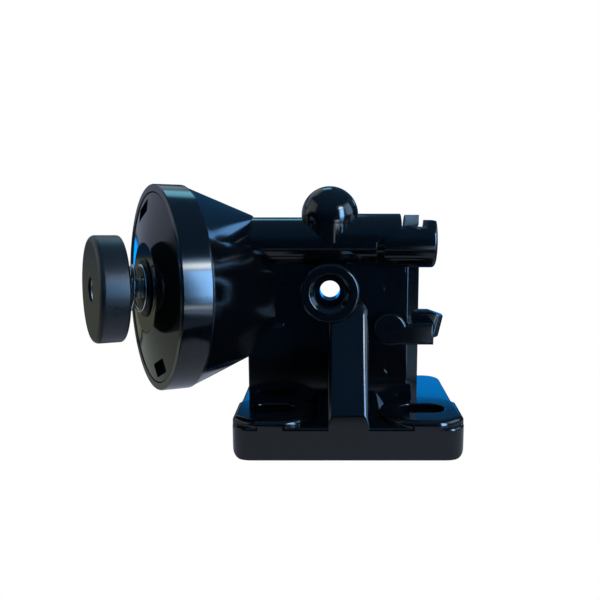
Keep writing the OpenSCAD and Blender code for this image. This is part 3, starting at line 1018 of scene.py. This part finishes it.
    def collar(self) -> Piece:
        """Builds the collar with the ramp of its cam cut.

        Returns:
            The collar.
        """
        collar = self.on_tube("collar", self.collar_left, self.tube_right, self.collar_radius)
        soften(collar, 0.5, 3, in_plane("x", self.collar_left))
        soften(collar, 1.1, 4, in_plane("x", self.tube_right))
        ramp = prism("ramp", Plane.FRONT, self.ramp, self.tube_y - self.past_side, self.tube_y)
        combine(collar, Combine.CUT, ramp)
        low, right = self.ramp[0][1] - 0.2, self.ramp[1][0] + 0.1
        soften(collar, 0.25, 3, both(lambda p: p.z > low and p.x < right and p.y < self.tube_y), 40)
        return collar

    def dome(self) -> Piece:
        """Builds the dome and the neck that it stands on.

        Returns:
            The dome with its neck.
        """
        x, y, z = self.dome_x, self.tube_y, self.dome_z
        neck = rod("dome_neck", (x, y, self.tube_z), (x, y, z), self.tube_radius + 0.2, self.dome_radius)
        clear_selection()
        bpy.ops.mesh.primitive_uv_sphere_add(segments=96, ring_count=48, radius=self.dome_radius * MM,
                                             location=[v * MM for v in (x, y, z)])
        combine(neck, Combine.JOIN, settle("dome"))
        return neck

    def cut_bores(self, body: Piece) -> None:
        """Cuts the tube's bore, the collar's cam cut and the cross bore.

        Args:
            body: The joined casting.
        """
        near_side, far_side = self.tube_y - self.past_side, self.tube_y + self.past_side
        left, right, top, end = self.sleeve_right, self.notch_left, self.past_top, self.tube_right + 2
        bore = self.on_tube("bore", self.bore_left, end, self.tube_bore)
        rest = [(left, self.cam_floor), self.cam_crest, self.cam_end, (self.cam_end[0], top), (left, top)]
        dwell = prism("dwell", Plane.FRONT, rest, near_side, self.tube_y)
        slot = block("slot", (left, near_side, self.cam_floor), (left + self.cam_slot, far_side, top))
        steps = [(right, self.notch_floor), (self.notch_right, self.notch_floor),
                 (self.notch_right, self.end_floor), (end, self.end_floor), (end, top), (right, top)]
        tab = prism("tab", Plane.FRONT, steps, near_side, far_side)
        combine(body, Combine.CUT, bore, dwell, slot, tab)
        soften(body, 0.22, 2, both(lambda p: p.x > self.collar_left + 0.6 and p.z > self.tube_z + 0.7), 40)
        face = Vector((self.boss_x, self.boss_front, self.boss_z)) * MM
        combine(body, Combine.CUT, turned("cross_bore", self.cross_bore, face, Vector((0, 1, 0)), UP))

    def is_machined(self, point: Vector) -> bool:
        """Tells whether a point in millimetres is in the tube's bore or on the collar's milled flat.

        Args:
            point: Middle of a face.

        Returns:
            True where the casting is bare.
        """
        in_bore = math.hypot(point.y - self.tube_y, point.z - self.tube_z) < self.tube_bore + 0.02
        on_flat = (self.sleeve_right < point.x < self.notch_left and near(point.y, self.tube_y)
                   and point.z > self.notch_floor)
        return in_bore and point.x > self.bore_left or on_flat

    def build(self) -> None:
        """Joins the casting's features, cuts its bores and dresses it."""
        body = self.foot()
        combine(body, Combine.JOIN, self.web(), self.corner_gusset(), self.front_rib(), self.rear_rib(),
                self.boss(), self.arm(), self.tube())
        self.cut_bores(body)
        dress(body, ENAMEL, "housing", "bracket")
        body.data.materials.append(BARE.material())
        for face in body.data.polygons:
            face.material_index = int(self.is_machined(face.center / MM))


@dataclass
class OnAxis:
    """A sub-assembly that stands on the bell's axis."""

    axis: BellAxis


@dataclass
class Bell(OnAxis):
    """The bell: a turned rim, a cone drawn in to the web, a neck drawn in to the tube's end, and a hollow."""

    rim_radius: float = 29.9
    rim_length: float = 8.8
    recess_radius: float = 27.65
    ledge: float = -2.9
    cavity_radius: float = 25.0
    cavity_back: float = -9.5
    floor_radius: float = 13.0
    floor: float = -19.0
    insert_radius: float = 5.0
    # Hole, radius, back and front
    floor_ring: Point = (6.9, 9.5, -19.5, -14.8)
    # Two opposite corners: outwards from the axis, round it, and along it
    key: tuple[Point, ...] = ((22.0, -4.95, -9.5), (25.4, 4.95, -1.2))
    # Where the cone meets the web, in X and Z, and the web's two sides
    root: tuple[Point, ...] = ((-31.5, 26.2), (-22.7, 39.0), (-22.7, 53.0), (-31.5, 53.0))
    root_sides: tuple[float, float] = (-6.4, -2.4)
    tube_axis: tuple[float, float] = (-4.4, 62.8)
    # Rounded end of the neck about the tube: X and radius
    neck_lip: tuple[Point, ...] = ((-30.4, 8.1), (-29.9, 8.05), (-29.65, 7.85), (-29.6, 7.6))

    def start_ring(self, step: float) -> list[Vector]:
        """Points on the rim's back that a skin starts from.

        Args:
            step: Distance inside the rim's radius.

        Returns:
            Two rings of points, in metres.
        """
        return [self.axis.point(self.rim_radius - step, 2.5 * k, place - self.rim_length)
                for k in range(144) for place in (0.15, step + 0.65)]

    def cone(self) -> Piece:
        """Wraps the cone from the rim to its tall root on the web."""
        root = [Vector((x, y, z)) * MM for x, z in self.root for y in self.root_sides]
        return hull("cone", self.start_ring(0.35) + root, self.axis.out, 14)

    def neck(self) -> Piece:
        """Wraps the neck from the rim to the end of the tube, with a rounded lip there.

        Returns:
            The neck.
        """
        y, z = self.tube_axis
        turns = [math.radians(5 * k) for k in range(72)]
        lip = [Vector((x, y + radius * math.sin(a), z + radius * math.cos(a))) * MM
               for x, radius in self.neck_lip for a in turns]
        return hull("neck", self.start_ring(0.45) + lip, self.axis.out, 14)

    def build(self) -> None:
        """Builds and dresses the bell."""
        axis = self.axis
        bell = axis.rod("bell_casting", 0, -self.rim_length, self.rim_radius)
        soften(bell, 0.9, 4, both(lambda p: near(axis.place(p), -self.rim_length)))
        soften(bell, 0.45, 3)
        combine(bell, Combine.JOIN, self.cone(), self.neck())
        hollow = axis.rod("hollow", self.cavity_back, 1, self.cavity_radius)
        recess = axis.rod("recess", self.ledge, 2, self.recess_radius)
        floor = axis.rod("floor", self.floor, self.cavity_back + 0.1, self.floor_radius, self.cavity_radius)
        insert_hole = axis.rod("insert_hole", self.floor - 8, self.floor + 1, self.insert_radius, segments=96)
        combine(bell, Combine.CUT, hollow, recess, floor, insert_hole)
        combine(bell, Combine.JOIN, axis.ring("floor_ring", *self.floor_ring))
        for turn in KEY_TURNS:
            key = axis.block("key", turn, *self.key)
            soften(key, 0.3, 2)
            combine(bell, Combine.JOIN, key)
        soften(bell, 0.25, 2, both(lambda p: near(axis.place(p), 0, 0.02)), 50)
        dress(bell, ENAMEL, "housing", "bell", 28)


@dataclass
class CoverDisc(OnAxis):
    """The cover disc: a shallow cone with a raised flat middle and two key windows."""

    radius: float = 27.4
    hole: float = 3.3
    front: float = -0.2
    back: float = -2.3
    hub_radius: float = 13.3
    hub_front: float = 2.45
    window_inner: float = 21.7
    window_length: float = 10.5
    window_width: float = 4.0

    def build(self) -> None:
        """Builds and dresses the disc."""
        axis, half = self.axis, self.window_length / 2
        profile = [(self.hole, self.back), (self.radius, self.back), (self.radius, self.front),
                   (self.hub_radius, self.hub_front), (self.hole, self.hub_front)]
        disc = axis.turned("cover_disc_plate", profile, 192)
        for turn in KEY_TURNS:
            window = axis.block("window", turn, (self.window_inner, -half, self.back - 1),
                                (self.window_inner + self.window_width, half, self.hub_front + 1))
            soften(window, 0.4, 3, lambda a, b: abs((a - b).dot(axis.out)) > 0.9 * (a - b).length)
            combine(disc, Combine.CUT, window)
        soften(disc, 0.28, 3)
        soften(disc, 0.5, 3, both(lambda p: near(axis.radius(p), self.hub_radius, 0.1)), 8)
        dress(disc, DISC_ENAMEL, "housing", "cover_disc", 12)


@dataclass
class SpringSet(OnAxis):
    """The compression spring and the dark washer that it stands on."""

    seat_front: float = 2.95
    seat_back: float = 2.45
    seat_radius: float = 8.5
    seat_hole: float = 3.3
    radius: float = 7.0
    wire: float = 1.0
    turns: float = 2.0
    # Where the wire starts, in degrees from the top, and the part of a turn that lies flat at each end
    start: float = 10.0
    flat: float = 0.28
    # Height of the wire's middle above what it lies on, in wire thicknesses, and how much its ends are eased
    lift: float = 0.55
    ease: float = 0.05
    steps_per_turn: int = 48
    top: float = 8.45
    travel: float = 1.5

    def path(self) -> list[Vector]:
        """Works out the middle line of the left-handed wire.

        Returns:
            Points in metres.
        """
        steps = round(self.turns * self.steps_per_turn)
        mean = self.radius - self.wire / 2
        low, high = self.seat_front + self.wire * self.lift, self.top - self.wire * self.lift
        path = []
        for i in range(steps + 1):
            turn = self.turns * i / steps
            rise = min(1.0, max(0.0, (turn - self.flat) / (self.turns - 2 * self.flat)))
            eased = rise - self.ease * math.sin(math.tau * rise)
            path.append(self.axis.point(mean, self.start - 360 * turn, low + (high - low) * eased))
        return path

    def coil(self) -> Piece:
        """Builds the spring as round wire along its path.

        Returns:
            The spring.
        """
        path = self.path()
        curve = bpy.data.curves.new("spring_wire", "CURVE")
        curve.dimensions = "3D"
        curve.bevel_depth = self.wire / 2 * MM
        curve.bevel_resolution = 4
        curve.use_fill_caps = True
        spline = curve.splines.new("POLY")
        spline.points.add(len(path) - 1)
        for spot, place in zip(spline.points, path):
            spot.co = (*place, 1)
        spring = bpy.data.objects.new("spring_wire", curve)
        bpy.context.collection.objects.link(spring)
        choose(spring)
        bpy.ops.object.convert(target="MESH")
        return settle("spring_coil")

    def build(self) -> None:
        """Builds and dresses the washer and the spring."""
        axis = self.axis
        seat = axis.ring("spring_seat_washer", self.seat_hole, self.seat_radius, self.seat_back,
                         self.seat_front)
        soften(seat, 0.25, 3)
        dress(seat, BLACKENED, "housing", "spring_seat")
        spring = self.coil()
        dress(spring, WIRE, "housing", "spring", 50)
        tuple(axis.point(0, 0, self.seat_front))
        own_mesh(spring)


@dataclass
class KnobSet(OnAxis):
    """The thumb knob, its threaded insert and the washer behind it."""

    back: float = 9.35
    face: float = 17.5
    radius: float = 15.2
    edge: float = 1.6
    rear_edge: float = 0.8
    hole: float = 3.6
    insert_radius: float = 5.5
    insert_front: float = 16.75
    bore: float = 3.05
    washer_back: float = 8.45
    washer_radius: float = 8.0
    pitch: float = 1.0
    thread_depth: float = 0.45
    thread_end: float = 0.3

    def is_outer(self, point: Vector) -> bool:
        """Tells whether a point is on the knob's outer wall."""
        return self.axis.radius(point) > self.radius - 0.1

    def knob(self) -> Piece:
        """Builds the knob with its broad front edge.

        Returns:
            The knob.
        """
        axis, socket = self.axis, self.insert_radius + 0.02
        profile = [(socket, self.back), (self.radius, self.back), (self.radius, self.face),
                   (self.hole, self.face), (self.hole, self.insert_front), (socket, self.insert_front)]
        knob = axis.turned("thumb_knob", profile, 192)
        soften(knob, self.edge, 8, both(lambda p: self.is_outer(p) and axis.place(p) > self.face - 0.1))
        soften(knob, self.rear_edge, 5, both(lambda p: self.is_outer(p) and axis.place(p) < self.back + 0.1))
        soften(knob, 0.3, 3, lambda a, b: not self.is_outer(a))
        return knob

    def insert(self) -> Piece:
        """Builds the insert with the grooves of its thread.

        Returns:
            The insert.
        """
        place = self.insert_front - self.thread_end
        profile = [(self.bore, self.back), (self.insert_radius, self.back),
                   (self.insert_radius, self.insert_front), (self.bore + self.thread_end, self.insert_front)]
        while place > self.back + self.thread_end + self.pitch:
            profile += [(self.bore, place), (self.bore + self.thread_depth, place - self.pitch / 2)]
            place -= self.pitch
        return self.axis.turned("threaded_insert", profile, 96)

    def build(self) -> None:
        """Builds and dresses the three pieces."""
        dress(self.knob(), KNOB, "knob", "knob")
        dress(self.insert(), INSERT, "knob", "knob_insert")
        washer = self.axis.ring("knob_back_washer", self.bore, self.washer_radius, self.washer_back,
                                self.back)
        soften(washer, 0.2, 2)
        dress(washer, STEEL, "knob_carriage", "knob_washer")


@dataclass
class Stud(OnAxis):
    """The threaded stud that carries everything in the bell."""

    radius: float = 3.0
    root_radius: float = 2.45
    back: float = -26.5
    front: float = 14.4
    pitch: float = 1.0

    def build(self) -> None:
        """Builds and dresses the stud with its helical thread."""
        clear_selection()
        bpy.ops.mesh.primitive_circle_add(vertices=3, fill_type="NOTHING")
        stud = settle("threaded_stud")
        start = self.back - 2 * self.pitch
        groove = ((self.radius, 0), (self.root_radius, 0.5), (self.radius, 1))
        with editing(stud):
            net = bmesh.from_edit_mesh(stud.data)
            for vertex, (radius, place) in zip(net.verts, groove):
                vertex.co = Vector((radius, 0, start + place * self.pitch)) * MM
            net.edges.remove(next(e for e in net.edges if {v.index for v in e.verts} == {0, 2}))
            bmesh.update_edit_mesh(stud.data)
        turns = stud.modifiers.new("thread", "SCREW")
        turns.angle = math.tau
        turns.screw_offset = self.pitch * MM
        turns.iterations = math.ceil((self.front - self.back) / self.pitch) + 4
        turns.steps = turns.render_steps = 32
        turns.use_merge_vertices = True
        turns.merge_threshold = 0.01 * MM
        bpy.ops.object.modifier_apply(modifier=turns.name)
        with editing(stud):
            for place, side in ((self.back, -1), (self.front, 1)):
                bpy.ops.mesh.select_all(action="SELECT")
                bpy.ops.mesh.bisect(plane_co=(0, 0, place * MM), plane_no=(0, 0, side), use_fill=True,
                                    clear_outer=True)
            bpy.ops.mesh.select_all(action="SELECT")
            bpy.ops.mesh.remove_doubles(threshold=MERGE)
            face_outwards()
        stud.data.transform(self.axis.matrix())
        dress(stud, STEEL, "housing", "stud", 25)


class InnerStack:
    """The pieces inside the bell, whose solids are right as they are and only get their finish."""

    finishes: dict[str, Finish] = {
        "stud_insert": BRASS, "lock_washer": STEEL, "jam_nut": STEEL, "rear_felt": FELT, "front_felt": FELT,
        "pressure_plate": STEEL, "bobbin_flange_inner": ALUMINIUM, "bobbin_core": ALUMINIUM,
        "bobbin_flange_outer": ALUMINIUM, "bobbin_bush_inner": BRASS, "bobbin_bush_outer": BRASS,
    }

    def build(self) -> None:
        """Gives each inner node its material."""
        for name, finish in self.finishes.items():
            node = frame["nodes"][name]
            node.data.materials.clear()
            node.data.materials.append(finish.material())
            LOG.info("%s: %s", name, finish.name)


@dataclass
class Studio:
    """Camera, pale floor and soft light; its sheets and cards are placed and sized in metres."""

    camera_at: tuple[float, float, float] = (-4.85, -223.6, 78.3)
    pitch: float = 8.85
    focal_pixels: float = 700.0
    image_pixels: float = 600.0
    centre_pixel: float = 332.0
    room: float = 6.0
    wall_out: float = 2.9
    wall_middle: float = 1.9
    wall_height: float = 4.0
    object_middle: float = 0.045

    def camera(self) -> None:
        """Sets the camera to the photograph's view."""
        data = bpy.data.cameras.new("view")
        data.sensor_width = 36.0
        data.lens = self.focal_pixels / self.image_pixels * data.sensor_width
        data.shift_x = (self.image_pixels / 2 - self.centre_pixel) / self.image_pixels
        data.clip_start = 0.005
        view = bpy.data.objects.new("view", data)
        bpy.context.collection.objects.link(view)
        view.location = [v * MM for v in self.camera_at]
        view.rotation_euler = (math.radians(90 - self.pitch), 0, 0)
        bpy.context.scene.camera = view

    def sheet(self, finish: Glow, place: Point, size: Point, turn: Point = (0, 0, 0)) -> Piece:
        """Adds a flat sheet that is part of the studio.

        Args:
            finish: Its light, which also names it.
            place: Its middle.
            size: Its width and depth.
            turn: Its turn about the three axes, in radians.

        Returns:
            The sheet.
        """
        clear_selection()
        bpy.ops.mesh.primitive_plane_add(size=1, location=place, rotation=turn)
        bpy.context.view_layer.objects.active.scale = (*size, 1)
        sheet = settle(finish.name)
        sheet.data.materials.append(finish.material())
        return sheet

    def card(self, finish: Glow, azimuth: float, height: float, size: Point,
             distance: float = 0.6) -> Piece:
        """Adds a lit card that faces the object and that the camera doesn't see.

        Args:
            finish: Its light.
            azimuth: Degrees from the camera's side to the right, seen from above.
            height: Degrees above the object's middle.
            size: Width and height.
            distance: Distance from the object's middle.

        Returns:
            The card.
        """
        a, h = math.radians(azimuth), math.radians(height)
        away = Vector((math.sin(a) * math.cos(h), -math.cos(a) * math.cos(h), math.sin(h)))
        place = UP * self.object_middle + away * distance
        card = self.sheet(finish, place, size, away.to_track_quat("Z", "Y").to_euler())
        card.visible_camera = False
        return card

    def backdrop(self) -> None:
        """Adds a plain white floor and walls all round, which only the camera sees."""
        white = Glow("pale_backdrop", "#FFFFFF")
        pale = [self.sheet(white, (0, 0, 0), (self.room, self.room))]
        for a in (0, math.pi / 2, math.pi, 3 * math.pi / 2):
            place = (self.wall_out * math.sin(a), self.wall_out * math.cos(a), self.wall_middle)
            pale.append(self.sheet(white, place, (self.room, self.wall_height), (math.pi / 2, 0, -a)))
        for sheet in pale:
            sheet.visible_glossy = sheet.visible_diffuse = sheet.visible_shadow = False

    def table(self) -> None:
        """Adds what the enamel mirrors from below: a dark glossy table with papers, cloth and glints."""
        for finish, place, size in (
                (Glow("dark_table", "#060B18", roughness=0.06), (0, 0, -0.0008), (self.room, self.room)),
                (Glow("olive_cloth", "#737767", soft=0.1), (-0.34, 0.27, -0.0006), (0.6, 0.6)),
                (Glow("green_paper", "#858C86", soft=0.2), (-0.16, 0, -0.0005), (0.22, 0.24)),
                (Glow("grey_paper", "#A9B4C6", soft=0.2), (0, -0.016, -0.0004), (0.18, 0.112)),
                (Glow("strip_paper", "#76879F", soft=0.3), (-0.002, -0.093, -0.0003), (0.1, 0.04)),
                (Glow("table_glint", "#CFE0F0", strength=9.0, soft=1.0), (0.09, -0.165, -0.0002),
                 (0.1, 0.12)),
                (Glow("table_sheen", "#A8CBF0", strength=3.5, soft=0.6), (0.055, -0.13, -0.0001),
                 (0.036, 0.06)),
                (Glow("shade_card", "#000103"), (0.004, -0.053, 0.014), (0.052, 0.038))):
            self.sheet(finish, place, size).visible_camera = False

    def world(self) -> None:
        """Sets the blue of the room, paler overhead."""
        world = bpy.data.worlds.new("room")
        bpy.context.scene.world = world
        world.use_nodes = True
        tree = world.node_tree
        height = add_node(tree, "ShaderNodeSeparateXYZ",
                          feeds={"Vector": (add_node(tree, "ShaderNodeTexCoord"), "Generated")})
        shade = add_node(tree, "ShaderNodeValToRGB", feeds={"Fac": (height, "Z")},
                         stops=[(0.0, "#0A3050"), (0.45, "#2C618F"), (1.0, "#437097")])
        tree.links.new(shade.outputs["Color"], tree.nodes["Background"].inputs["Color"])

    def windows(self) -> None:
        """Adds the lit windows and walls that the enamel mirrors, and a soft ceiling that it doesn't."""
        for finish, azimuth, height, size in (
                (Glow("window_light", "#8CC4FF", strength=27.0, soft=0.4), 49, 11, (0.22, 0.58)),
                (Glow("window_sun", "#E8F4FF", strength=24.0, soft=0.7), 48, 28, (0.28, 0.1)),
                (Glow("side_window", "#B3DAFF", strength=3.2, soft=0.5), 86, 20, (0.52, 0.46)),
                (Glow("left_window", "#DDECF2", strength=1.0, soft=0.4), -90, 20, (0.74, 0.6)),
                (Glow("left_wall", "#B4C9D6", soft=0.3), -124, 27, (0.34, 0.26)),
                (Glow("grey_wall", "#8690A4", soft=0.2), -138, 7, (0.6, 0.16)),
                (Glow("back_left_wall", "#BCD4DF", soft=0.3), -148, 42, (0.44, 0.44)),
                (Glow("back_right_wall", "#4A6E84", soft=0.4), 120, 30, (0.34, 0.3)),
                (Glow("skylight", "#8CDFFF", strength=3.4, soft=0.5), -172, 49, (0.2, 0.2)),
                (Glow("back_window", "#77BAFF", strength=3.6, soft=0.5), 144, 18, (0.13, 0.1))):
            self.card(finish, azimuth, height, size)
        over = self.card(Glow("ceiling", "#FFFDF8", strength=3.0, soft=0.4), 0, 80, (0.9, 0.9), 0.9)
        over.visible_glossy = False

    def boards(self) -> None:
        """Adds low blue boards for the foot's top and the disc's far edge, and a dark one for the web."""
        blue = Glow("blue_board", "#0A99FF", strength=2.0, soft=0.25)
        for finish, place, size in (
                (blue, (0.01, 0.12, 0.035), (0.15, 0.034)),
                (blue, (-0.118, 0.12, 0.045), (0.05, 0.03)),
                (Glow("dark_board", "#000103"), (0, -0.0725, 0.0055), (0.08, 0.011))):
            board = self.sheet(finish, place, size, (math.pi / 2, 0, 0))
            board.visible_camera = board.visible_diffuse = False

    def build(self) -> None:
        """Sets up the camera, the floor, the backdrop and the lights."""
        bpy.context.scene.view_settings.view_transform = "Standard"
        for step in (self.camera, self.backdrop, self.table, self.world, self.windows, self.boards):
            step()


def main() -> None:
    """Builds every sub-assembly and the studio."""
    logging.basicConfig(level=logging.INFO, format="%(name)s: %(message)s")
    axis = BellAxis.from_frame()
    for part in (Studio(), Bracket(), Bell(axis), CoverDisc(axis), SpringSet(axis), KnobSet(axis), Stud(axis),
                 InnerStack()):
        part.build()
    clear_selection()


if __name__ == "__main__":
    main()
